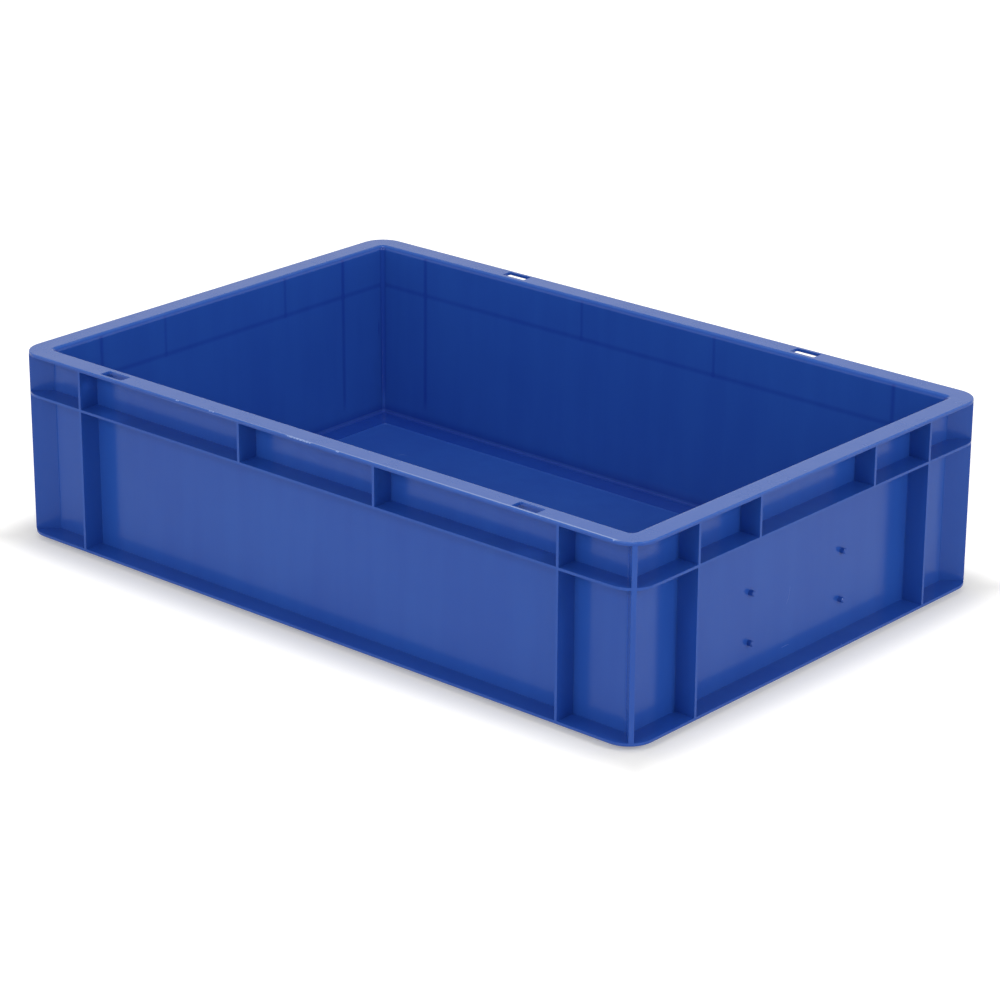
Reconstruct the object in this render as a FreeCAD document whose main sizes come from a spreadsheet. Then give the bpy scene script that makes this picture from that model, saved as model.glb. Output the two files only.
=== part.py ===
import FreeCAD, Part
import math
import os
import Sketcher

# A stacking container of the 600 x 400 euro footprint, moulded in one piece.
# X runs along the long side, Y along the short side and Z up. The origin is
# under the middle of the foot, on the floor that the container stands on.
# The lid slots of the side at negative Y lie further apart than those of the
# side at positive Y; everything else is the same on opposite sides.

# Driving sizes in millimetres, each written once: name, value, what it sets.
SIZES = [
    ("OuterLength", 600.0, "outline along X"),
    ("OuterWidth", 400.0, "outline along Y"),
    ("OuterHeight", 150.0, "floor to top of rim"),
    ("OutlineRadius", 20.0, "corners of rim and flanges"),
    ("RimWidth", 19.2, "outline to the inside of the walls, at the top"),
    ("RimThickness", 2.5, "rim plate"),
    ("RimInnerRadius", 4.0, "rim turning down into the walls"),
    ("RimOuterRadius", 0.8, "top outer edge of the rim"),
    ("WallThickness", 2.0, "side walls at the top"),
    ("WallRadius", 5.0, "corners of the walls, outside"),
    ("HollowRadius", 3.0, "corners of the walls, inside, at the top"),
    ("WallDraft", 0.3, "degrees, inside of the walls"),
    ("FloorLevel", 6.0, "ground to the floor inside, along the walls"),
    ("FloorFillet", 1.0, "inside, walls to floor"),
    ("BaseThickness", 3.0, "bottom plate"),
    ("PanelInset", 24.0, "walls to the raised floor panel"),
    ("PanelRise", 1.2, "raised floor panel and the recess below it"),
    ("PanelRadius", 5.0, "corners of the floor panel"),
    ("FootHeight", 4.0, "foot below the lowest flange"),
    ("FootClearance", 1.5, "foot inside the walls it stacks in"),
    ("FootCornerRadius", 4.0, "corners of the foot"),
    ("FootEdgeChamfer", 0.8, "lower edge of the foot"),
    ("FootRingWidth", 3.0, "ring that the container stands on"),
    ("BaseFlangeThickness", 2.5, "flange at the wall foot"),
    ("BaseOuterRadius", 0.8, "lower outer edge of the base flange"),
    ("MidFlangeLevel", 118.0, "floor to top of the middle flange"),
    ("MidFlangeThickness", 2.0, "middle flange"),
    ("RibThickness", 2.2, "upright ribs"),
    ("LongRibOffset", 233.0, "full ribs of the long sides from the middle"),
    ("LongShortRibOffset", 66.0, "short ribs of the long sides"),
    ("EndRibOffset", 133.0, "full ribs of the short sides"),
    ("EndShortRibOffset", 66.0, "short ribs of the short sides"),
    ("CornerRibThickness", 3.8, "diagonal corner ribs"),
    ("CornerRibProud", 0.2, "corner ribs beyond the outline"),
    ("CornerRibRadius", 0.6, "edges of the corner ribs"),
    ("SlotLength", 22.4, "lid slots along X"),
    ("SlotWidth", 9.5, "lid slots along Y"),
    ("SlotRadius", 1.0, "corners of the lid slots"),
    ("SlotEdge", 3.0, "outline to lid slot"),
    ("FrontSlotOffset", 201.0, "lid slots at negative Y from the middle"),
    ("RearSlotOffset", 144.0, "lid slots at positive Y from the middle"),
    ("StudDiameter", 4.2, "label studs of the short sides"),
    ("StudLength", 4.0, "label studs out of the wall"),
    ("StudTipChamfer", 0.8, "edge of the stud end"),
    ("StudSpacingAcross", 106.0, "label studs, centre to centre along Y"),
    ("StudSpacingUp", 37.5, "label studs, centre to centre along Z"),
    ("StudLevel", 31.0, "floor to the lower studs"),
]


def number(item):
    return item.value if isinstance(item, Term) else item


class Term:
    """A length held both as a number and as the formula that gives it."""

    def __init__(self, text, value):
        self.text = text
        self.value = value

    def joined(self, sign, other, value):
        right = other.text if isinstance(other, Term) else repr(other)
        return Term("(%s %s %s)" % (self.text, sign, right), value)

    def __add__(self, other):
        return self.joined("+", other, self.value + number(other))

    def __sub__(self, other):
        return self.joined("-", other, self.value - number(other))

    def __mul__(self, other):
        return self.joined("*", other, self.value * number(other))

    def __truediv__(self, other):
        return self.joined("/", other, self.value / number(other))


doc = FreeCAD.newDocument("EuroContainer")
sheet = doc.addObject("Spreadsheet::Sheet", "Sheet")
S = {}
for row, (name, value, note) in enumerate(SIZES, start=1):
    sheet.set("A%d" % row, name)
    sheet.set("B%d" % row, repr(value))
    sheet.set("C%d" % row, note)
    sheet.setAlias("B%d" % row, name)
    S[name] = Term("Sheet." + name, value)
doc.recompute()

body = doc.addObject("PartDesign::Body", "Container")
body.Label = "container"
hollow_body = doc.addObject("PartDesign::Body", "HollowForm")
hollow_body.Label = "hollow_form"


# Sketch helpers

def new_sketch(name, role, owner=body, turn=0.0, **offset):
    """A sketch on one of the three origin planes, or moved from it by offsets in
    its own x, y and z, and turned about its normal by some degrees."""
    planes = {plane.Role: plane for plane in owner.Origin.OriginFeatures}
    sketch = owner.newObject("Sketcher::SketchObject", name)
    sketch.AttachmentSupport = (planes[role], [""])
    sketch.MapMode = "FlatFace"
    shift = [offset[axis].value if axis in offset else 0.0 for axis in "xyz"]
    sketch.AttachmentOffset = FreeCAD.Placement(
        FreeCAD.Vector(*shift), FreeCAD.Rotation(FreeCAD.Vector(0, 0, 1), turn))
    for axis, distance in offset.items():
        sketch.setExpression("AttachmentOffset.Base." + axis, distance.text)
    doc.recompute()
    return sketch


def place(sketch, geometry, point, direction, side, distance):
    """Hold a point at a distance from the origin on one side of it."""
    kind = "Distance" + direction
    if side > 0:
        item = Sketcher.Constraint(kind, -1, 1, geometry, point, distance.value)
    else:
        item = Sketcher.Constraint(kind, geometry, point, -1, 1, distance.value)
    index = sketch.addConstraint(item)
    sketch.setExpression("Constraints[%d]" % index, distance.text)


def rectangle(sketch, left, right, low, high, radius=None):
    """An upright rectangle; each side is (side of the origin, distance)."""
    x0, x1, y0, y1 = [side * gap.value for side, gap in (left, right, low, high)]
    cut = radius.value if radius else 0.0
    ends = [((x0 + cut, y0), (x1 - cut, y0)), ((x1, y0 + cut), (x1, y1 - cut)),
            ((x1 - cut, y1), (x0 + cut, y1)), ((x0, y1 - cut), (x0, y0 + cut))]
    lines = []
    for start, stop in ends:
        segment = Part.LineSegment(FreeCAD.Vector(*start, 0), FreeCAD.Vector(*stop, 0))
        lines.append(sketch.addGeometry(segment, False))
    if radius:
        middles = [(x1 - cut, y0 + cut), (x1 - cut, y1 - cut),
                   (x0 + cut, y1 - cut), (x0 + cut, y0 + cut)]
        arcs = []
        for turn, middle in enumerate(middles):
            circle = Part.Circle(FreeCAD.Vector(*middle, 0), FreeCAD.Vector(0, 0, 1), cut)
            begin = math.radians(270 + 90 * turn)
            arc = Part.ArcOfCircle(circle, begin, begin + math.pi / 2)
            arcs.append(sketch.addGeometry(arc, False))
        for turn, arc in enumerate(arcs):
            following = lines[(turn + 1) % 4]
            sketch.addConstraint(Sketcher.Constraint("Tangent", lines[turn], 2, arc, 1))
            sketch.addConstraint(Sketcher.Constraint("Tangent", arc, 2, following, 1))
        for arc in arcs[1:]:
            sketch.addConstraint(Sketcher.Constraint("Equal", arcs[0], arc))
        index = sketch.addConstraint(Sketcher.Constraint("Radius", arcs[0], cut))
        sketch.setExpression("Constraints[%d]" % index, radius.text)
    else:
        for turn in range(4):
            following = lines[(turn + 1) % 4]
            sketch.addConstraint(
                Sketcher.Constraint("Coincident", lines[turn], 2, following, 1))
    for turn, kind in enumerate(("Horizontal", "Vertical", "Horizontal", "Vertical")):
        sketch.addConstraint(Sketcher.Constraint(kind, lines[turn]))
    place(sketch, lines[0], 1, "Y", low[0], low[1])
    place(sketch, lines[1], 1, "X", right[0], right[1])
    place(sketch, lines[2], 1, "Y", high[0], high[1])
    place(sketch, lines[3], 1, "X", left[0], left[1])


def centred(sketch, half_length, half_width, radius):
    """A rounded rectangle about the origin."""
    rectangle(sketch, (-1, half_length), (1, half_length),
              (-1, half_width), (1, half_width), radius)


def stud_circle(sketch, side, height):
    """A stud's circle beside the middle of a short wall."""
    across = S["StudSpacingAcross"] / 2
    middle = FreeCAD.Vector(side * across.value, height.value, 0)
    diameter = S["StudDiameter"]
    circle = sketch.addGeometry(
        Part.Circle(middle, FreeCAD.Vector(0, 0, 1), diameter.value / 2), False)
    index = sketch.addConstraint(
        Sketcher.Constraint("Diameter", circle, diameter.value))
    sketch.setExpression("Constraints[%d]" % index, diameter.text)
    place(sketch, circle, 3, "X", side, across)
    place(sketch, circle, 3, "Y", 1, height)


def pad(name, sketch, length, reverse=False, owner=body):
    """Add the sketch's outline as material of the given height."""
    feature = owner.newObject("PartDesign::Pad", name)
    feature.Profile = sketch
    feature.Reversed = reverse
    feature.Length = length.value
    feature.setExpression("Length", length.text)
    sketch.Visibility = False
    doc.recompute()
    return feature


def pocket(name, sketch, length, reverse=False):
    """Cut the sketch's outline to the given depth."""
    feature = body.newObject("PartDesign::Pocket", name)
    feature.Profile = sketch
    feature.Reversed = reverse
    feature.Length = length.value
    feature.setExpression("Length", length.text)
    sketch.Visibility = False
    doc.recompute()
    return feature


def chosen(shape, wanted):
    """Names of the edges of a shape for which wanted(edge) is true."""
    names = ["Edge%d" % i for i, edge in enumerate(shape.Edges, start=1) if wanted(edge)]
    if not names:
        raise RuntimeError("no edge was found to work on")
    return names


def fillet(name, radius, wanted, owner=body):
    """Round some edges of the last feature."""
    tip = owner.Tip
    feature = owner.newObject("PartDesign::Fillet", name)
    feature.Base = (tip, chosen(tip.Shape, wanted))
    feature.Radius = radius.value
    feature.setExpression("Radius", radius.text)
    doc.recompute()
    return feature


def chamfer(name, size, wanted):
    """Bevel some edges of the last feature."""
    tip = body.Tip
    feature = body.newObject("PartDesign::Chamfer", name)
    feature.Base = (tip, chosen(tip.Shape, wanted))
    feature.Size = size.value
    feature.setExpression("Size", size.text)
    doc.recompute()
    return feature


def level(edge, height, slack=0.01):
    """True for an edge that lies flat at one height."""
    box = edge.BoundBox
    return abs(box.ZMin - height) < slack and abs(box.ZMax - height) < slack


def round_edge(edge, radius):
    """True for a circular edge of one radius."""
    curve = edge.Curve
    return isinstance(curve, Part.Circle) and abs(curve.Radius - radius) < 0.001


def on_outline(edge):
    """True for an edge of the outer outline."""
    box = edge.BoundBox
    reach_x = outline_x.value - S["OutlineRadius"].value
    reach_y = outline_y.value - S["OutlineRadius"].value
    return max(-box.XMin, box.XMax) > reach_x and max(-box.YMin, box.YMax) > reach_y and (
        max(-box.XMin, box.XMax) > outline_x.value - 0.01
        or max(-box.YMin, box.YMax) > outline_y.value - 0.01)


def within(edge, half_length, half_width):
    """True for an edge inside an upright rectangle about the origin."""
    box = edge.BoundBox
    return max(-box.XMin, box.XMax) < half_length and max(-box.YMin, box.YMax) < half_width


# Half sizes and levels that several features share

outline_x = S["OuterLength"] / 2
outline_y = S["OuterWidth"] / 2
hollow_x = outline_x - S["RimWidth"]
hollow_y = outline_y - S["RimWidth"]
wall_x = hollow_x + S["WallThickness"]
wall_y = hollow_y + S["WallThickness"]
base_top = S["FootHeight"] + S["BaseFlangeThickness"]
base_under = S["FloorLevel"] - S["BaseThickness"]
mid_under = S["MidFlangeLevel"] - S["MidFlangeThickness"]
rim_under = S["OuterHeight"] - S["RimThickness"]

# Walls, still solid inside

sketch = new_sketch("WallOutline", "XY_Plane", z=S["FootHeight"])
centred(sketch, wall_x, wall_y, S["WallRadius"])
pad("Walls", sketch, S["OuterHeight"] - S["FootHeight"])

# Foot that drops between the walls of the container below

foot_x = hollow_x - S["FootClearance"]
foot_y = hollow_y - S["FootClearance"]
sketch = new_sketch("FootOutline", "XY_Plane")
centred(sketch, foot_x, foot_y, S["FootCornerRadius"])
pad("Foot", sketch, S["FootHeight"])
chamfer("FootEdge", S["FootEdgeChamfer"], lambda edge: level(edge, 0.0))

# Three level flanges on the same outline: base flange, middle flange and rim

flanges = [
    ("BaseFlange", S["FootHeight"], S["BaseFlangeThickness"]),
    ("MidFlange", mid_under, S["MidFlangeThickness"]),
    ("Rim", rim_under, S["RimThickness"]),
]
for name, start, thickness in flanges:
    sketch = new_sketch(name + "Outline", "XY_Plane", z=start)
    centred(sketch, outline_x, outline_y, S["OutlineRadius"])
    pad(name, sketch, thickness)

# Upright ribs, flush with the outline. Each is drawn as a bar right across
# the container, and the hollow that is cut later leaves its two ends.


def rib_bars(name, start, along_x, along_y, length):
    """Two bars across the long walls and two across the short walls."""
    half = S["RibThickness"] / 2
    sketch = new_sketch(name + "Bars", "XY_Plane", z=start)
    for side in (-1, 1):
        left = along_x - half * side
        right = along_x + half * side
        rectangle(sketch, (side, left), (side, right), (-1, outline_y), (1, outline_y))
    pad(name + "Long", sketch, length)
    sketch = new_sketch(name + "EndBars", "XY_Plane", z=start)
    for side in (-1, 1):
        low = along_y - half * side
        high = along_y + half * side
        rectangle(sketch, (-1, outline_x), (1, outline_x), (side, low), (side, high))
    pad(name + "Ends", sketch, length)


rib_bars("FullRibs", base_top, S["LongRibOffset"], S["EndRibOffset"], rim_under - base_top)
rib_bars("ShortRibs", S["MidFlangeLevel"], S["LongShortRibOffset"], S["EndShortRibOffset"],
         rim_under - S["MidFlangeLevel"])

# Diagonal rib at each corner. Its sketch is centred on the outline's corner arc
# and turned so that its X points out of the corner; the inner end of the bar
# lies inside the wall and the hollow.

half = S["CornerRibThickness"] / 2
for sx, sy, word in ((1, 1, "RightRear"), (-1, 1, "LeftRear"),
                     (-1, -1, "LeftFront"), (1, -1, "RightFront")):
    sketch = new_sketch("CornerBar" + word, "XY_Plane",
                        turn=math.degrees(math.atan2(sy, sx)),
                        x=(outline_x - S["OutlineRadius"]) * sx,
                        y=(outline_y - S["OutlineRadius"]) * sy, z=base_top)
    rectangle(sketch, (-1, half), (1, S["OutlineRadius"] + S["CornerRibProud"]),
              (-1, half), (1, half), S["CornerRibRadius"])
    pad("CornerRib" + word, sketch, rim_under - base_top)

# Four label studs on the wall of each short side, below the middle flange

bury = S["WallThickness"] / 2
for side, word in ((-1, "Left"), (1, "Right")):
    sketch = new_sketch("StudCircles" + word, "YZ_Plane", z=(wall_x - bury) * side)
    for sy in (-1, 1):
        for step in (0, 1):
            stud_circle(sketch, sy, S["StudLevel"] + S["StudSpacingUp"] * step)
    pad("Studs" + word, sketch, bury + S["StudLength"], reverse=side < 0)
stud_end = (wall_x + S["StudLength"]).value
chamfer("StudTips", S["StudTipChamfer"],
        lambda edge: round_edge(edge, S["StudDiameter"].value / 2)
        and abs(abs(edge.BoundBox.Center.x) - stud_end) < 0.01)

# The hollow, with drafted walls and a rounded floor edge, formed as a block of
# its own and then taken out of the container

sketch = new_sketch("HollowOutline", "XY_Plane", owner=hollow_body, z=S["OuterHeight"])
centred(sketch, hollow_x, hollow_y, S["HollowRadius"])
block = pad("HollowBlock", sketch, S["OuterHeight"] - S["FloorLevel"], True, hollow_body)
block.TaperAngle = -S["WallDraft"].value
block.setExpression("TaperAngle", "-" + S["WallDraft"].text)
doc.recompute()
floor = S["FloorLevel"].value
fillet("FloorFillet", S["FloorFillet"], lambda edge: level(edge, floor), hollow_body)
unhollowed = body.Tip.Shape.Volume
hollow = body.newObject("PartDesign::Boolean", "Hollow")
hollow.Type = "Cut"
hollow.setObjects([hollow_body])
doc.recompute()

# Middle of the floor raised a little inside a channel along the walls

panel_x = hollow_x - S["PanelInset"]
panel_y = hollow_y - S["PanelInset"]
sketch = new_sketch("PanelOutline", "XY_Plane", z=S["FloorLevel"])
centred(sketch, panel_x, panel_y, S["PanelRadius"])
pad("FloorPanel", sketch, S["PanelRise"])

# Underside: a ring to stand on, and the hollow of the raised panel above it

ring = S["FootRingWidth"]
sketch = new_sketch("FootRingInside", "XY_Plane")
centred(sketch, foot_x - ring, foot_y - ring, S["FootCornerRadius"] - ring)
pocket("FootRecess", sketch, base_under, reverse=True)
sketch = new_sketch("PanelRecessOutline", "XY_Plane", z=base_under)
centred(sketch, panel_x, panel_y, S["PanelRadius"])
pocket("PanelRecess", sketch, S["PanelRise"], reverse=True)

# Lid slots through the rim plate

sketch = new_sketch("SlotOutlines", "XY_Plane", z=S["OuterHeight"])
half = S["SlotLength"] / 2
slot_far = outline_y - S["SlotEdge"]
slot_near = slot_far - S["SlotWidth"]
for sy, offset in ((-1, S["FrontSlotOffset"]), (1, S["RearSlotOffset"])):
    low, high = (slot_near, slot_far) if sy > 0 else (slot_far, slot_near)
    for sx in (-1, 1):
        left = offset - half * sx
        right = offset + half * sx
        rectangle(sketch, (sx, left), (sx, right), (sy, low), (sy, high), S["SlotRadius"])
pocket("LidSlots", sketch, S["RimThickness"])

# Rounded edges of the rim and the base flange

top = S["OuterHeight"].value
fillet("RimInnerEdge", S["RimInnerRadius"], lambda edge: level(edge, top)
       and within(edge, hollow_x.value + 0.01, hollow_y.value + 0.01))
fillet("RimOuterEdge", S["RimOuterRadius"], lambda edge: level(edge, top)
       and on_outline(edge))
fillet("BaseFlangeEdge", S["BaseOuterRadius"], lambda edge: level(edge, S["FootHeight"].value)
       and on_outline(edge))

# Every feature must be sound before the shape is written

for item in doc.Objects:
    if "Invalid" in item.State or "Error" in item.State:
        raise RuntimeError("%s is %s" % (item.Name, item.State))
    if item.isDerivedFrom("PartDesign::Feature"):
        if item.Shape.isNull() or not item.Shape.isValid():
            raise RuntimeError("%s has no sound shape" % item.Name)
if hollow.Shape.Volume > unhollowed / 2:
    raise RuntimeError("the hollow was not cut downwards")
if len(body.Shape.Solids) != 1:
    raise RuntimeError("the container is not one solid")

os.makedirs("parts", exist_ok=True)
body.Shape.exportStep("parts/%s.step" % body.Label)
box = body.Shape.optimalBoundingBox()
print("container %.2f x %.2f x %.2f mm from z %.3f, volume %.0f cubic mm"
      % (box.XLength, box.YLength, box.ZLength, box.ZMin, body.Shape.Volume))
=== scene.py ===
# %% [markdown]
# This lesson dresses a moulded stacking container for a studio picture. The
# imported CAD model is loaded first, because it is the frame that every other
# step measures from. Its box is kept, and later steps read the rim's top and
# front from it.

# %% Load the imported model
import bpy
import bmesh
import math
import numpy as np
from mathutils import Matrix, Vector
from mathutils.bvhtree import BVHTree


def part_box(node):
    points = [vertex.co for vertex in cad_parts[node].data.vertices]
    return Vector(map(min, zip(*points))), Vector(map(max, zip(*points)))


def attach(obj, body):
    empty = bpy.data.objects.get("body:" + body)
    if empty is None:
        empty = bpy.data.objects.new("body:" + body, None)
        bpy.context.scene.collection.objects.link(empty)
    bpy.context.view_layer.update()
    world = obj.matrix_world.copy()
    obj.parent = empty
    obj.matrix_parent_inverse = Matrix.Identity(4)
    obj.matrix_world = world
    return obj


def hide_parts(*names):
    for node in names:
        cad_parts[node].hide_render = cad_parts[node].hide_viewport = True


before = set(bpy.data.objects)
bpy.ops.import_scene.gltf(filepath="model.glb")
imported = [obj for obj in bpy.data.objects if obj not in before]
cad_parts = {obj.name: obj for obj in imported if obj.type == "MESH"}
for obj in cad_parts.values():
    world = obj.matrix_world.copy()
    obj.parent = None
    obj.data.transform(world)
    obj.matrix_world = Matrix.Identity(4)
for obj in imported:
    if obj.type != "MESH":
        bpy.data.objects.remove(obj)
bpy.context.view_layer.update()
MM = 0.001
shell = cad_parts["container"]
low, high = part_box("container")
print("container", [round(v, 4) for v in low], [round(v, 4) for v in high])

# %% [markdown]
# The photograph was taken with a long lens from above one corner. The camera
# is placed by where it stands and by the point it looks at, with a slight
# roll, and its lens is given for a 36 mm wide sensor and a square picture.

# %% Camera
CAMERA_AT = Vector((1619.98, -1843.36, 988.77)) * MM
LOOKS_AT = Vector((55.86, -55.23, 79.0)) * MM
LENS = 126.21
ROLL = 0.32

camera_data = bpy.data.cameras.new("camera")
camera_data.lens = LENS
camera_data.sensor_width = 36.0
camera_data.clip_start = 0.05
camera_data.clip_end = 100.0
camera = bpy.data.objects.new("camera", camera_data)
bpy.context.scene.collection.objects.link(camera)
aim = (LOOKS_AT - CAMERA_AT).to_track_quat("-Z", "Y").to_matrix().to_4x4()
camera.matrix_world = Matrix.Translation(CAMERA_AT) @ aim @ Matrix.Rotation(
    math.radians(ROLL), 4, "Z")
bpy.context.scene.camera = camera
print("camera distance %.3f m" % (LOOKS_AT - CAMERA_AT).length)

# %% [markdown]
# The picture shows a copy of the CAD mesh, which can be rounded and worn. Its
# loose triangles are merged, and flat areas become single faces.

# %% Copy, merge and flatten the CAD mesh
MERGE_DISTANCE = 0.01 * MM
FLAT = math.radians(0.4)


def merged_copy(node, name):
    """The node's mesh as an object of its own: points closer than the merge
    distance become one, and faces that lie in one plane are joined."""
    mesh = node.data.copy()
    mesh.name = name
    made = bpy.data.objects.new(name, mesh)
    bpy.context.scene.collection.objects.link(made)
    work = bmesh.new()
    work.from_mesh(mesh)
    bmesh.ops.remove_doubles(work, verts=work.verts, dist=MERGE_DISTANCE)
    bmesh.ops.dissolve_limit(work, angle_limit=FLAT, use_dissolve_boundaries=False,
                             verts=work.verts, edges=work.edges)
    work.to_mesh(mesh)
    work.free()
    mesh.update()
    return made


skin = merged_copy(shell, "container_skin")
print("merged copy:", len(skin.data.vertices), "points,", len(skin.data.polygons), "faces")

# %% [markdown]
# A moulded part has no knife edges: the mould leaves a small radius along each
# rib and flange, and that radius catches the light. Where two walls meet in a
# hollow corner the radius is larger.

# %% Round its sharp edges
SHARP = math.radians(38.0)
OUTER_RADIUS = 0.35 * MM
HOLLOW_RADIUS = 0.8 * MM
ROUND_STEPS = 2


def soften_edges(made, sharp, outer, hollow):
    """Each edge whose faces meet at more than the sharp angle becomes a quarter
    round in two steps, with one radius on outer edges and another in hollows.
    A bevel weight on each edge carries its share of the larger radius. The
    rounding is then made part of the mesh, so that the wear can be cut into it."""
    work = bmesh.new()
    work.from_mesh(made.data)
    weight = work.edges.layers.float.get("bevel_weight_edge")
    if weight is None:
        weight = work.edges.layers.float.new("bevel_weight_edge")
    counts = [0, 0]
    for edge in work.edges:
        if len(edge.link_faces) == 2 and edge.calc_face_angle(0.0) > sharp:
            edge[weight] = outer / hollow if edge.is_convex else 1.0
            counts[0 if edge.is_convex else 1] += 1
    work.to_mesh(made.data)
    work.free()
    made.data.update()
    round_off = made.modifiers.new("rounded_edges", "BEVEL")
    round_off.limit_method = "WEIGHT"
    round_off.width = hollow
    round_off.segments = ROUND_STEPS
    round_off.use_clamp_overlap = True
    round_off.harden_normals = False
    bpy.context.view_layer.update()
    evaluated = made.evaluated_get(bpy.context.evaluated_depsgraph_get())
    rounded = bpy.data.meshes.new_from_object(evaluated)
    made.modifiers.clear()
    made.data = rounded
    return counts


counts = soften_edges(skin, SHARP, OUTER_RADIUS, HOLLOW_RADIUS)
print("rounded", counts[0], "outer edges and", counts[1], "hollow edges")

# %% [markdown]
# The front edge of the rim is worn. A stretch of it is torn in a row of small
# scallops, and there are a few short nicks. The thin faces along that edge are
# cut into a fine grid, and the points above a ragged line are pushed in. Each
# point keeps how far it was pushed as a value named wear, for the colour.

# %% Tear the front edge of the rim
# stretches of the edge: left end, right end and depth, in millimetres
TORN = ((-18.5, 8.0, 2.0), (-129.6, -126.4, 1.1), (-96.0, -90.0, 0.9),
        (30.3, 33.6, 1.1), (279.0, 284.6, 0.9))
TORN_STEP = 0.55
TORN_LEVELS = (149.0, 148.7, 148.4, 148.1, 147.8)
TORN_PUSH = 0.5
TORN_SLOPE = 0.3
SCALLOP = 3.3
RIM_TOP = high[2] / MM
EDGE_DEPTH = 0.85
EDGE_FACE = low[1] / MM + EDGE_DEPTH
EDGE_FOOT = RIM_TOP - 2.6
TORN_FOOT = RIM_TOP - 2.3


def on_front_edge(face):
    """True for the narrow faces of the rim's front edge."""
    return all(v.co.y < EDGE_FACE * MM and v.co.z > EDGE_FOOT * MM for v in face.verts)


def cut(work, faces, point, normal):
    """Cut the faces along one plane."""
    parts = set(faces)
    for face in faces:
        parts.update(face.edges)
        parts.update(face.verts)
    bmesh.ops.bisect_plane(work, geom=list(parts), dist=1e-7, plane_co=point, plane_no=normal)


def ragged_line(x, left, right, deep):
    """Depth of the tear below the rim's top at x: arches as long as a scallop,
    uneven in height, which fade out at both ends of the stretch."""
    share = (x - left) / (right - left)
    ends = max(0.0, min(1.0, 6.0 * min(share, 1.0 - share)))
    arches = abs(math.sin(math.pi * (x - left) / SCALLOP))
    uneven = 0.62 + 0.38 * math.sin(2.9 * x + 1.7 * math.sin(0.8 * x))
    return deep * ends * (0.45 + 0.55 * arches) * uneven


def tear(made):
    """Cut the grid and push in the points above the ragged line."""
    work = bmesh.new()
    work.from_mesh(made.data)
    wear = work.verts.layers.float.new("wear")
    for left, right, deep in TORN:
        for x in np.arange(left, right + TORN_STEP / 2, TORN_STEP):
            faces = [face for face in work.faces if on_front_edge(face)]
            cut(work, faces, (x * MM, 0, 0), (1, 0, 0))
    spans = [(left * MM, right * MM) for left, right, deep in TORN]
    for level in TORN_LEVELS:
        faces = [face for face in work.faces if on_front_edge(face)
                 and any(left < face.calc_center_median().x < right for left, right in spans)]
        cut(work, faces, (0, 0, level * MM), (0, 0, 1))
    pushed = 0
    for vert in work.verts:
        if vert.co.y < EDGE_FACE * MM and vert.co.z > TORN_FOOT * MM:
            x, below = vert.co.x / MM, RIM_TOP - vert.co.z / MM
            for left, right, deep in TORN:
                if left < x < right:
                    over = ragged_line(x, left, right, deep) - below
                    push = TORN_PUSH * max(0.0, min(1.0, over / TORN_SLOPE))
                    vert.co.y += push * MM
                    vert[wear] = push / TORN_PUSH
                    pushed += push > 0
    work.to_mesh(made.data)
    work.free()
    made.data.update()
    return pushed


print("pushed in", tear(skin), "points of the front edge")
skin.data.polygons.foreach_set("use_smooth", np.ones(len(skin.data.polygons), bool))

# %% [markdown]
# Wide flat faces decide how the narrow rounded ones are shaded. Then the copy
# takes the place of the CAD node in the picture.

# %% Steady the shading and replace the CAD node
steady = skin.modifiers.new("steady_normals", "WEIGHTED_NORMAL")
steady.keep_sharp = True
steady.weight = 80
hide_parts("container")
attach(skin, "root")
print(skin.name, len(skin.data.polygons), "faces")

# %% [markdown]
# The raised panel of the floor ends in a low bead, and the bottom and a side
# wall carry a few scratches. All of these are low half-round ridges swept along
# a path, and two tiny lumps are shallow domes. Their feet are sunk a little
# into the surface, so that no gap shows.

# %% Surfaces for ridges and domes
SINK = 0.03
skin_tree = BVHTree.FromPolygons([v.co for v in skin.data.vertices],
                                 [tuple(p.vertices) for p in skin.data.polygons])


def surface(rows, up, closed):
    """Points in rows become quads that face the way up shows; a closed surface
    joins its last row to its first one. Returns the points and the quads."""
    count, width = rows.shape[:2]
    last = count if closed else count - 1
    a = (np.arange(last)[:, None] * width + np.arange(width - 1)).ravel()
    b = ((np.arange(last)[:, None] + 1) % count * width + np.arange(width - 1)).ravel()
    quads = np.stack([a, b, b + 1, a + 1], axis=1)
    points = rows.reshape(-1, 3)
    first = points[quads[len(quads) // 2]]
    if np.dot(np.cross(first[1] - first[0], first[3] - first[0]), up) < 0:
        quads = quads[:, ::-1]
    return points, quads


def ridge(path, up, width, height, closed=False):
    """A half-ellipse of the given width and height swept along a path. An open
    ridge tapers at both ends like the root of a sine."""
    path = np.asarray(path, float)
    if closed:
        ahead = np.roll(path, -1, axis=0) - np.roll(path, 1, axis=0)
        taper = np.ones(len(path))
    else:
        ahead = np.gradient(path, axis=0)
        taper = np.sqrt(np.sin(np.pi * np.linspace(0.02, 0.98, len(path))))
    up = np.asarray(up, float)
    across = np.cross(ahead, up)
    across /= np.linalg.norm(across, axis=1)[:, None]
    turn = np.linspace(0.0, math.pi, 9)
    side = np.cos(turn)[None, :] * (width / 2) * taper[:, None]
    lift = np.sin(turn)[None, :] * height * taper[:, None] - SINK
    rows = path[:, None, :] + side[:, :, None] * across[:, None, :] + lift[:, :, None] * up
    return surface(rows * MM, up, closed)


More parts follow.
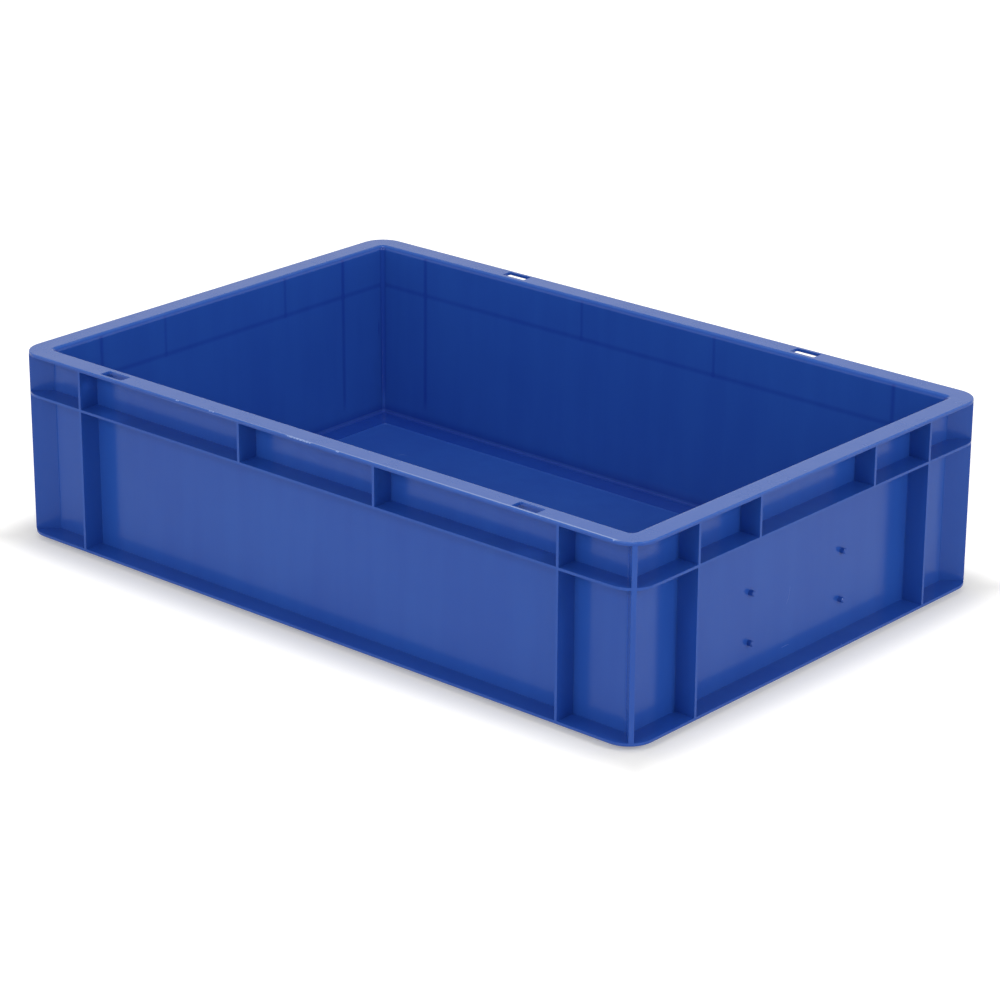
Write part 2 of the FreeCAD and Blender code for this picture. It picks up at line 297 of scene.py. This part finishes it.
def dome(centre, up, radius, height):
    """A shallow dome: height falls with the square of the distance."""
    up = np.asarray(up, float)
    first = np.cross(up, (0.36, 0.48, 0.8))
    first /= np.linalg.norm(first)
    second = np.cross(up, first)
    out = np.linspace(1.0, 0.02, 6)[None, :]
    turn = np.linspace(0, 2 * math.pi, 24, endpoint=False)[:, None]
    rows = (np.asarray(centre, float) + (out * np.cos(turn))[:, :, None] * radius * first
            + (out * np.sin(turn))[:, :, None] * radius * second
            + ((1 - out ** 2) * height - SINK + 0 * turn)[:, :, None] * up)
    return surface(rows * MM, up, True)


def smooth_path(points, steps):
    """A curve through the points, by a polynomial of the lowest fitting degree."""
    points = np.asarray(points, float)
    knots = np.linspace(0, 1, len(points))
    fine = np.linspace(0, 1, steps)
    return np.stack([np.polyval(np.polyfit(knots, column, len(points) - 1), fine)
                     for column in points.T], axis=1)


PIECE_MERGE = 0.002 * MM


def piece(name, surfaces):
    """One mesh object from several surfaces, given to the container."""
    points, quads, start = [], [], 0
    for these, faces in surfaces:
        points += these.tolist()
        quads += (faces + start).tolist()
        start += len(these)
    mesh = bpy.data.meshes.new(name)
    mesh.from_pydata(points, [], quads)
    work = bmesh.new()
    work.from_mesh(mesh)
    bmesh.ops.remove_doubles(work, verts=work.verts, dist=PIECE_MERGE)
    work.to_mesh(mesh)
    work.free()
    mesh.polygons.foreach_set("use_smooth", np.ones(len(mesh.polygons), bool))
    made = bpy.data.objects.new(name, mesh)
    bpy.context.scene.collection.objects.link(made)
    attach(made, "root")
    print(name, len(mesh.polygons), "faces")
    return made


# %% [markdown]
# The floor panel's edge is found in the mesh: it is the widest reach of the
# points at the panel's level. The bead runs just inside it.

# %% Bead round the floor panel
PANEL_TOP = 7.2
PANEL_LIMIT = (270.0, 170.0)
LEVEL_TOLERANCE = 0.05
BEAD_INSET = 0.8
BEAD_WIDTH = 1.5
BEAD_HEIGHT = 0.28
PANEL_CORNER = 5.0

spots = np.array([v.co for v in skin.data.vertices]) / MM
panel = spots[(np.abs(spots[:, 2] - PANEL_TOP) < LEVEL_TOLERANCE)
              & (np.abs(spots[:, 0]) < PANEL_LIMIT[0]) & (np.abs(spots[:, 1]) < PANEL_LIMIT[1])]
panel_x, panel_y = np.abs(panel[:, :2]).max(axis=0)
print("floor panel", round(panel_x, 2), "by", round(panel_y, 2), "mm from the middle")


def rounded_rectangle(half_x, half_y, radius, level, steps=10):
    """A closed path: four quarter circles, joined by straight sides."""
    path = []
    for corner, (sx, sy) in enumerate(((1, 1), (-1, 1), (-1, -1), (1, -1))):
        turn = np.linspace(0, math.pi / 2, steps) + corner * math.pi / 2
        path.append(np.stack([sx * (half_x - radius) + radius * np.cos(turn),
                              sy * (half_y - radius) + radius * np.sin(turn),
                              np.full(steps, level)], axis=1))
    return np.concatenate(path)


bead_path = rounded_rectangle(panel_x - BEAD_INSET, panel_y - BEAD_INSET,
                              PANEL_CORNER - BEAD_INSET, PANEL_TOP)
bead = piece("panel_bead", [ridge(bead_path, (0, 0, 1), BEAD_WIDTH, BEAD_HEIGHT, closed=True)])

# %% [markdown]
# A curved scratch lies on the floor panel near the front, two faint streaks
# cross the right-hand wall, and a lump sits on the panel's far left corner and
# another on the edge of the base flange.

# %% Scratches and lumps
OUTSIDE = 310.0
LUMP_PLACE = 0.3


def on_right_wall(y, z):
    """The point of the right-hand outer wall at this place."""
    hit = skin_tree.ray_cast(Vector((OUTSIDE * MM, y * MM, z * MM)), Vector((-1, 0, 0)))[0]
    return (hit.x / MM, y, z)


CRESCENT = ((-196.2, 103.6, PANEL_TOP), (-194.6, 109.5, PANEL_TOP), (-188.4, 110.6, PANEL_TOP))
LOW_STREAK = ((-14.6, 15.0), (-10.5, 15.0), (-5.8, 14.9))
CURVED_STREAK = ((-7.0, 60.0), (-7.7, 52.7), (-10.8, 46.1))
corner = (panel_x - PANEL_CORNER * LUMP_PLACE, panel_y - PANEL_CORNER * LUMP_PLACE)
marks = piece("scratches", [
    ridge(smooth_path(CRESCENT, 24), (0, 0, 1), 0.7, 0.16),
    ridge(smooth_path([on_right_wall(*p) for p in LOW_STREAK], 16), (1, 0, 0), 0.6, 0.10),
    ridge(smooth_path([on_right_wall(*p) for p in CURVED_STREAK], 24), (1, 0, 0), 0.45, 0.08),
    dome((-corner[0], corner[1], PANEL_TOP), (0, 0, 1), 1.3, 0.55),
    dome((299.35, 34.6, 6.3), (0.8, 0, 0.6), 0.7, 0.35)])

# %% [markdown]
# The container is moulded in a deep blue polypropylene. Its own colour is
# dark; the paler look of the rim and of the outer walls is the white studio,
# mirrored in the glossy surface. On the walls the colour stays dark and the gloss
# does the rest; on the rim a paler blue also paints part of that reflection into
# the colour. A few small helpers keep the node trees short.

# %% Helpers for node trees
class Nodes:
    """Short hand for building the node tree of a material or of the world."""

    def __init__(self, owner):
        owner.use_nodes = True
        self.tree = owner.node_tree
        self.shader = (self.tree.nodes.get("Principled BSDF")
                       or self.tree.nodes.get("Background"))

    def add(self, kind, values=(), **settings):
        """A node with some settings; values are given to its inputs in order."""
        node = self.tree.nodes.new(kind)
        for name, value in settings.items():
            setattr(node, name, value)
        for socket, value in zip(node.inputs, values):
            self.give(socket, value)
        return node

    def give(self, socket, value):
        """Link an output to the socket, or set a plain value on it."""
        if isinstance(value, bpy.types.NodeSocket):
            self.tree.links.new(value, socket)
        elif value is not None:
            socket.default_value = value

    def math(self, operation, *values):
        """The result of one arithmetic step."""
        return self.add("ShaderNodeMath", values, operation=operation).outputs[0]

    def product(self, *values):
        """All the values multiplied."""
        result = values[0]
        for value in values[1:]:
            result = self.math("MULTIPLY", result, value)
        return result

    def total(self, *values):
        """All the values added up."""
        result = values[0]
        for value in values[1:]:
            result = self.math("ADD", result, value)
        return result

    def ramp(self, value, low, high, to_low=0.0, to_high=1.0):
        """A smooth step: to_low below low, to_high above high."""
        node = self.add("ShaderNodeMapRange", interpolation_type="SMOOTHSTEP")
        for name, item in (("Value", value), ("From Min", low), ("From Max", high),
                           ("To Min", to_low), ("To Max", to_high)):
            self.give(node.inputs[name], item)
        return node.outputs["Result"]

    def mix(self, share, first, second):
        """A blend of two colours."""
        node = self.add("ShaderNodeMix", data_type="RGBA")
        self.give(node.inputs["Factor"], share)
        self.give(node.inputs[6], first)
        self.give(node.inputs[7], second)
        return node.outputs[2]

    def noise(self, place, scale, detail, stretch=(1, 1, 1)):
        """Noise in the object's own metres, stretched along its axes."""
        spread = self.add("ShaderNodeMapping", vector_type="POINT")
        self.give(spread.inputs["Vector"], place)
        spread.inputs["Scale"].default_value = stretch
        node = self.add("ShaderNodeTexNoise")
        self.give(node.inputs["Vector"], spread.outputs[0])
        node.inputs["Scale"].default_value = scale
        node.inputs["Detail"].default_value = detail
        return node.outputs["Fac"]

    def near(self, value, middle, width):
        """One at the middle, falling smoothly to nothing at the width."""
        apart = self.math("ABSOLUTE", self.math("SUBTRACT", value, middle))
        return self.ramp(apart, 0.0, width, 1.0, 0.0)


# %% [markdown]
# The looks differ from place to place, so the tree first works out where a
# point lies: in the hollow, on the rim, on the floor panel, in the channel
# round the panel or at the foot of a wall. All the places are in metres.

# %% Places on the container
HOLLOW = (0.2815, 0.1815, 0.0055)
WALL_NEAR = (0.2785, 0.1785)
ROOT_NEAR = (0.2770, 0.1770)
ROOT_LEVEL = 0.0068
ROOT_REACH = 0.0022
PANEL_LEVELS = (0.0070, 0.0079)
CHANNEL_SHADE_LEVELS = (0.0066, 0.0165)
RIM_LEVELS = (0.1485, 0.1497)

plastic = bpy.data.materials.new("blue_moulded_plastic")
n = Nodes(plastic)
place = n.add("ShaderNodeTexCoord").outputs["Object"]
x, y, z = list(n.add("ShaderNodeSeparateXYZ", (place,)).outputs)[:3]
far_x = n.math("ABSOLUTE", x)
far_y = n.math("ABSOLUTE", y)

hollow = n.product(n.math("LESS_THAN", far_x, HOLLOW[0]), n.math("LESS_THAN", far_y, HOLLOW[1]),
                   n.math("GREATER_THAN", z, HOLLOW[2]))
on_end = n.math("GREATER_THAN", far_x, WALL_NEAR[0])
on_long = n.math("GREATER_THAN", far_y, WALL_NEAR[1])
at_wall = n.math("MAXIMUM", n.math("GREATER_THAN", far_x, ROOT_NEAR[0]),
                 n.math("GREATER_THAN", far_y, ROOT_NEAR[1]))
root = n.product(hollow, n.near(z, ROOT_LEVEL, ROOT_REACH), at_wall)
panel_face = n.product(hollow, n.math("LESS_THAN", z, PANEL_LEVELS[1]),
                       n.math("GREATER_THAN", z, PANEL_LEVELS[0]))
# the channel round the floor panel and the lowest part of the inner walls, fading upwards; it
# only carries painted shade where these hollow roots lie in shadow
channel_painted_shade = n.product(hollow, n.ramp(z, *CHANNEL_SHADE_LEVELS, 1.0, 0.0),
                    n.math("SUBTRACT", 1.0, panel_face))
rim = n.ramp(z, *RIM_LEVELS)
torn = n.add("ShaderNodeAttribute", attribute_name="wear").outputs["Fac"]
print("places worked out with", len(n.tree.nodes), "nodes")

# %% [markdown]
# Where a rib or a flange stands outside, the inside of the wall sinks a little,
# and so do the four upright corners. The dip is a shallow dent in the bump; the
# faint dark line along it and along the corners is painted shade in the colour.
# The lines are made from the distance to the ribs, and fade out above the floor.

# %% Sink lines of the inner walls, with painted shade
RIB_OFFSETS = (0.233, 0.133)
SHORT_RIB_OFFSETS = (0.066, 0.066)
FLANGE_LEVEL = 0.1170
FLANGE_THICKNESS = 0.003
RIB_LINE = 0.0032
SHORT_RIB_LINE = 0.0026
FLANGE_LINE = 0.0034
CREASE_NEAR = 0.0023
SHORT_RIB_SHARE = 0.7
FLANGE_SHARE = 0.75
FADE_LEVELS = (0.012, 0.030)

inside = n.product(hollow, n.ramp(z, *FADE_LEVELS))
above_flange = n.ramp(z, FLANGE_LEVEL - FLANGE_THICKNESS, FLANGE_LEVEL)
rib_lines = n.total(n.product(on_long, n.near(far_x, RIB_OFFSETS[0], RIB_LINE)),
                    n.product(on_end, n.near(far_y, RIB_OFFSETS[1], RIB_LINE)))
short_lines = n.total(n.product(on_long, n.near(far_x, SHORT_RIB_OFFSETS[0], SHORT_RIB_LINE)),
                      n.product(on_end, n.near(far_y, SHORT_RIB_OFFSETS[1], SHORT_RIB_LINE)))
short_lines = n.product(short_lines, above_flange, SHORT_RIB_SHARE)
# the upright inner corners: a dent in the bump, and painted shade in the colour
corner_dent_and_shade = n.product(n.ramp(far_x, WALL_NEAR[0] - CREASE_NEAR, WALL_NEAR[0]),
                    n.ramp(far_y, WALL_NEAR[1] - CREASE_NEAR, WALL_NEAR[1]))
flange_line = n.product(n.near(z, FLANGE_LEVEL, FLANGE_LINE), FLANGE_SHARE)
lines = n.math("MINIMUM", n.total(rib_lines, corner_dent_and_shade, short_lines, flange_line), 1.0)
# this mask dents the bump and darkens the colour; the darkening is painted shade along the sink
# lines and in the inner corners
dent_and_painted_shade = n.product(lines, inside)
print("sink lines at", RIB_OFFSETS, "and", SHORT_RIB_OFFSETS, "m from the middle")

# %% [markdown]
# The colour shifts between two blues by broad and streaky noise. The sink
# lines, the inner corners and the channel take more of the darker one as painted
# shade, and a short tick on the left wall is a dark mark. The rim is a little
# paler, a painted reflection of the studio, and clouded by handling; the torn
# plastic is the palest.

# %% Colour of the plastic
BLUE = (0.023, 0.096, 0.440, 1.0)
DEEP = (0.010, 0.040, 0.320, 1.0)
PALE = (0.130, 0.210, 0.520, 1.0)
# the rim's paler blue is a painted reflection of the white studio
RIM_REFLECTION_BLUE = (0.030, 0.125, 0.520, 1.0)
TORN_BLUE = (0.340, 0.460, 0.820, 1.0)
TICK = (0.1752, 0.0800)
TICK_SIZE = (0.0009, 0.0110)
# share of the darker blue everywhere; along the sink lines and in the channel it is painted
# shade, and on the tick it is a dark mark
TONE = 0.12
SINK_PAINTED_SHADE = 0.5
CHANNEL_PAINTED_SHADE = 0.55
TICK_DARK = 0.8
# share of the rim's paler blue there, a painted reflection, and at most of the pale clouds on it
RIM_REFLECTION_SHARE = 0.85
CLOUD_SHARE = 0.14
# the values of the noise between which a change comes in
NOISE_MIDDLE = (0.35, 0.65)
CLOUD_RANGE = (0.35, 0.70)

broad = n.noise(place, 9.0, 3.0)
streaks = n.noise(place, 60.0, 4.0, (1, 1, 0.12))
clouds = n.noise(place, 70.0, 4.0)
fine = n.noise(place, 900.0, 3.0)
tick = n.product(n.math("LESS_THAN", x, -WALL_NEAR[0]), n.near(y, TICK[0], TICK_SIZE[0]),
                 n.near(z, TICK[1], TICK_SIZE[1]))
tone = n.total(n.ramp(broad, *NOISE_MIDDLE, -0.06, 0.06),
               n.ramp(streaks, *NOISE_MIDDLE, -0.05, 0.05), TONE)
# the darker blue: random tone, the tick mark, and painted shade along the sink lines, corners
# and channel
dark = n.total(n.product(dent_and_painted_shade, SINK_PAINTED_SHADE), n.product(channel_painted_shade, CHANNEL_PAINTED_SHADE),
               n.product(tick, TICK_DARK), tone)
colour = n.mix(dark, BLUE, DEEP)
# painted reflection: the rim takes a paler blue for the white studio mirrored in its top
colour = n.mix(n.product(rim, RIM_REFLECTION_SHARE), colour, RIM_REFLECTION_BLUE)
colour = n.mix(n.product(rim, n.ramp(clouds, *CLOUD_RANGE, 0.0, CLOUD_SHARE)), colour, PALE)
n.give(n.shader.inputs["Base Color"], n.mix(torn, colour, TORN_BLUE))
print("colour mixed with", len(n.tree.nodes), "nodes")

# %% [markdown]
# The walls are glossy. Handling has dulled the rim, the floor panel has a matt
# grain, and the foot of each wall is dull too. A fine grain, the sink lines and
# a broad waviness shape the reflections.

# %% Gloss and grain of the plastic
ROUGHNESS = 0.19
PANEL_DULL = 0.25
ROOT_DULL = 0.45
PLASTIC_IOR = 1.40
GRAIN_DEPTH = 0.0006
GRAIN_STRENGTH = 0.35
# how high the fine grain, the sink lines and the waviness stand
FINE_HEIGHT = 0.006
SUNK_HEIGHT = -0.25
WAVE_HEIGHT = 0.6

rough = n.total(ROUGHNESS, n.ramp(streaks, 0.3, 0.7, -0.02, 0.02))
rough = n.total(rough, n.product(rim, n.ramp(clouds, *CLOUD_RANGE, 0.02, 0.10)),
                n.product(panel_face, PANEL_DULL), n.product(root, ROOT_DULL))
n.give(n.shader.inputs["Roughness"], rough)
n.shader.inputs["IOR"].default_value = PLASTIC_IOR

height = n.total(n.product(fine, FINE_HEIGHT),
                 n.total(n.product(dent_and_painted_shade, SUNK_HEIGHT), n.product(broad, WAVE_HEIGHT)))
bump = n.add("ShaderNodeBump")
bump.inputs["Strength"].default_value = GRAIN_STRENGTH
bump.inputs["Distance"].default_value = GRAIN_DEPTH
n.give(bump.inputs["Height"], height)
n.give(n.shader.inputs["Normal"], bump.outputs["Normal"])

for made in (skin, shell, bead):
    made.data.materials.clear()
    made.data.materials.append(plastic)
print("material", plastic.name, "with", len(n.tree.nodes), "nodes")

# %% [markdown]
# Scraped plastic is paler and duller, with an uneven grain of its own.

# %% Paler plastic in the scratches
SCRAPED_DARK = (0.03, 0.10, 0.44, 1.0)
SCRAPED_PALE = (0.08, 0.17, 0.50, 1.0)

scraped = bpy.data.materials.new("scraped_plastic")
scrape = Nodes(scraped)
grain = scrape.noise(scrape.add("ShaderNodeTexCoord").outputs["Object"], 400.0, 3.0)
scrape.give(scrape.shader.inputs["Base Color"], scrape.mix(grain, SCRAPED_DARK, SCRAPED_PALE))
scrape.give(scrape.shader.inputs["Roughness"], scrape.ramp(grain, 0.3, 0.7, 0.25, 0.45))
scrape.shader.inputs["IOR"].default_value = PLASTIC_IOR
marks.data.materials.append(scraped)
print("material", scraped.name, "with", len(scrape.tree.nodes), "nodes")

# %% [markdown]
# The floor is pale paper, large enough to fill the picture. To the camera, and
# in mirrored light, it is brightened by a fixed amount, so that it shows white
# where it is lit in full and keeps the soft shadow under the container. Close to
# the container the camera sees less of that brightening, which paints a darker
# band round it: painted shadow on top of the real one.

# %% Paper floor
FLOOR_SIZE = 30.0
HALF_FOOTPRINT = (0.300, 0.200)
PAPER = (0.85, 0.84, 0.80, 1.0)
PAPER_ROUGHNESS = 0.9
# the camera's glow right next to the container, kept low so that it paints shadow there
PAINTED_SHADOW_GLOW = 0.24
FAR_GLOW = 0.62
PAINTED_SHADOW_REACH = 0.045
MIRRORED_GLOW = 0.12
GLOW_TINT = (1.0, 0.99, 0.98, 1.0)

half = FLOOR_SIZE / 2
floor_mesh = bpy.data.meshes.new("floor")
floor_mesh.from_pydata([(-half, -half, 0), (half, -half, 0), (half, half, 0), (-half, half, 0)],
                       [], [(0, 1, 2, 3)])
floor = bpy.data.objects.new("floor", floor_mesh)
bpy.context.scene.collection.objects.link(floor)

paper = bpy.data.materials.new("white_paper")
p = Nodes(paper)
rays = p.add("ShaderNodeLightPath").outputs
mirrored = p.math("MAXIMUM", rays["Is Glossy Ray"], rays["Is Transmission Ray"])
spot_x, spot_y = list(p.add("ShaderNodeSeparateXYZ", (
    p.add("ShaderNodeTexCoord").outputs["Object"],)).outputs)[:2]
outside = p.math("MAXIMUM",
                 p.math("SUBTRACT", p.math("ABSOLUTE", spot_x), HALF_FOOTPRINT[0]),
                 p.math("SUBTRACT", p.math("ABSOLUTE", spot_y), HALF_FOOTPRINT[1]))
# painted shadow: within the reach round the footprint the camera sees less glow, so the floor is
# darker close to the container
backdrop_and_painted_shadow = p.ramp(outside, 0.0, PAINTED_SHADOW_REACH, PAINTED_SHADOW_GLOW, FAR_GLOW)
glow = p.total(p.product(rays["Is Camera Ray"], backdrop_and_painted_shadow), p.product(mirrored, MIRRORED_GLOW))
p.shader.inputs["Base Color"].default_value = PAPER
p.shader.inputs["Roughness"].default_value = PAPER_ROUGHNESS
p.shader.inputs["Emission Color"].default_value = GLOW_TINT
p.give(p.shader.inputs["Emission Strength"], glow)
paper.cycles.emission_sampling = "NONE"
floor_mesh.materials.append(paper)
print("floor", FLOOR_SIZE, "m wide")

# %% [markdown]
# The sky is white low down at the back, and dimmer overhead and on the side of
# the photographer.

# %% Sky
SKY_BACK = 0.94
SKY_FRONT = 0.80
SKY_ABOVE = 0.32
FRONT_WAY = (0.66, 0.75)
BACK_TO_FRONT = (-0.3, 0.5)
LOW_TO_ABOVE = (0.38, 0.62)

world = bpy.data.worlds.new("sky")
bpy.context.scene.world = world
w = Nodes(world)
way = w.add("ShaderNodeSeparateXYZ", (w.add("ShaderNodeTexCoord").outputs["Generated"],)).outputs
to_front = w.math("SUBTRACT", w.product(way[0], FRONT_WAY[0]), w.product(way[1], FRONT_WAY[1]))
low_sky = w.ramp(to_front, *BACK_TO_FRONT, SKY_BACK, SKY_FRONT)
w.shader.inputs["Color"].default_value = (1, 1, 1, 1)
w.give(w.shader.inputs["Strength"], w.ramp(way[2], *LOW_TO_ABOVE, low_sky, SKY_ABOVE))
print("sky from", SKY_ABOVE, "to", SKY_BACK)

# %% [markdown]
# Two wide lamps stand in front and at the right, about thirty degrees up, and a
# weaker one hangs above. All three face the middle of the container.

# %% Lamps
AIM = Vector((0.0, 0.0, 0.08))
# name, place, side of the square and power
LAMPS = (("overhead", (0.0, 0.0, 2.8), 1.0, 13.0),
         ("front", (0.2, -2.8, 1.70), 1.0, 23.0),
         ("right", (2.8, 0.0, 1.65), 0.8, 23.0))


def area_lamp(name, place, size, power):
    """A square lamp that faces the container."""
    data = bpy.data.lights.new(name, "AREA")
    data.shape = "SQUARE"
    data.size = size
    data.energy = power
    facing = (AIM - Vector(place)).to_track_quat("-Z", "Y").to_matrix().to_4x4()
    lamp = bpy.data.objects.new(name, data)
    lamp.matrix_world = Matrix.Translation(place) @ facing
    bpy.context.scene.collection.objects.link(lamp)


for lamp in LAMPS:
    area_lamp(*lamp)
bpy.context.scene.view_settings.view_transform = "Standard"
print(len(LAMPS), "lamps")
